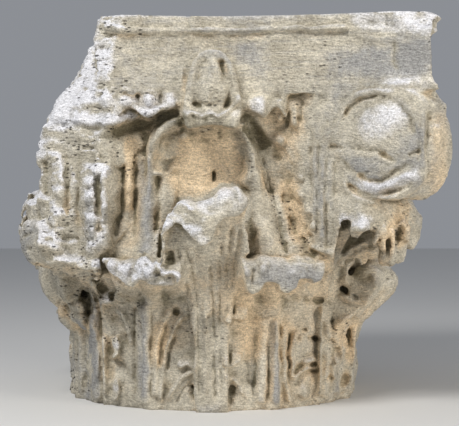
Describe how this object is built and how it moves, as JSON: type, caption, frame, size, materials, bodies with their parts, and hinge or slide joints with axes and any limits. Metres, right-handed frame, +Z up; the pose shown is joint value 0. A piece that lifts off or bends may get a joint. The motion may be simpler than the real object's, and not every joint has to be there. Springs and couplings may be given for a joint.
{
  "type": "corinthian column capital",
  "caption": "Carved stone column capital with two rows of acanthus leaves, volutes under a hollow-sided abacus, and one side broken away.",
  "frame": {"origin": "the column axis on the lower bed, where the capital rests on its shaft", "axes": "+Z up the column axis to the upper bed; -Y out of the best kept face; +X to that face's right, where its volute survives; the broken side is on -X"},
  "size_m": [0.6311, 0.6528, 0.55],
  "materials": {
    "stone": "weathered, pitted and matt"
  },
  "bodies": {
    "root": {"capital": "stone"}
  },
  "joints": []
}
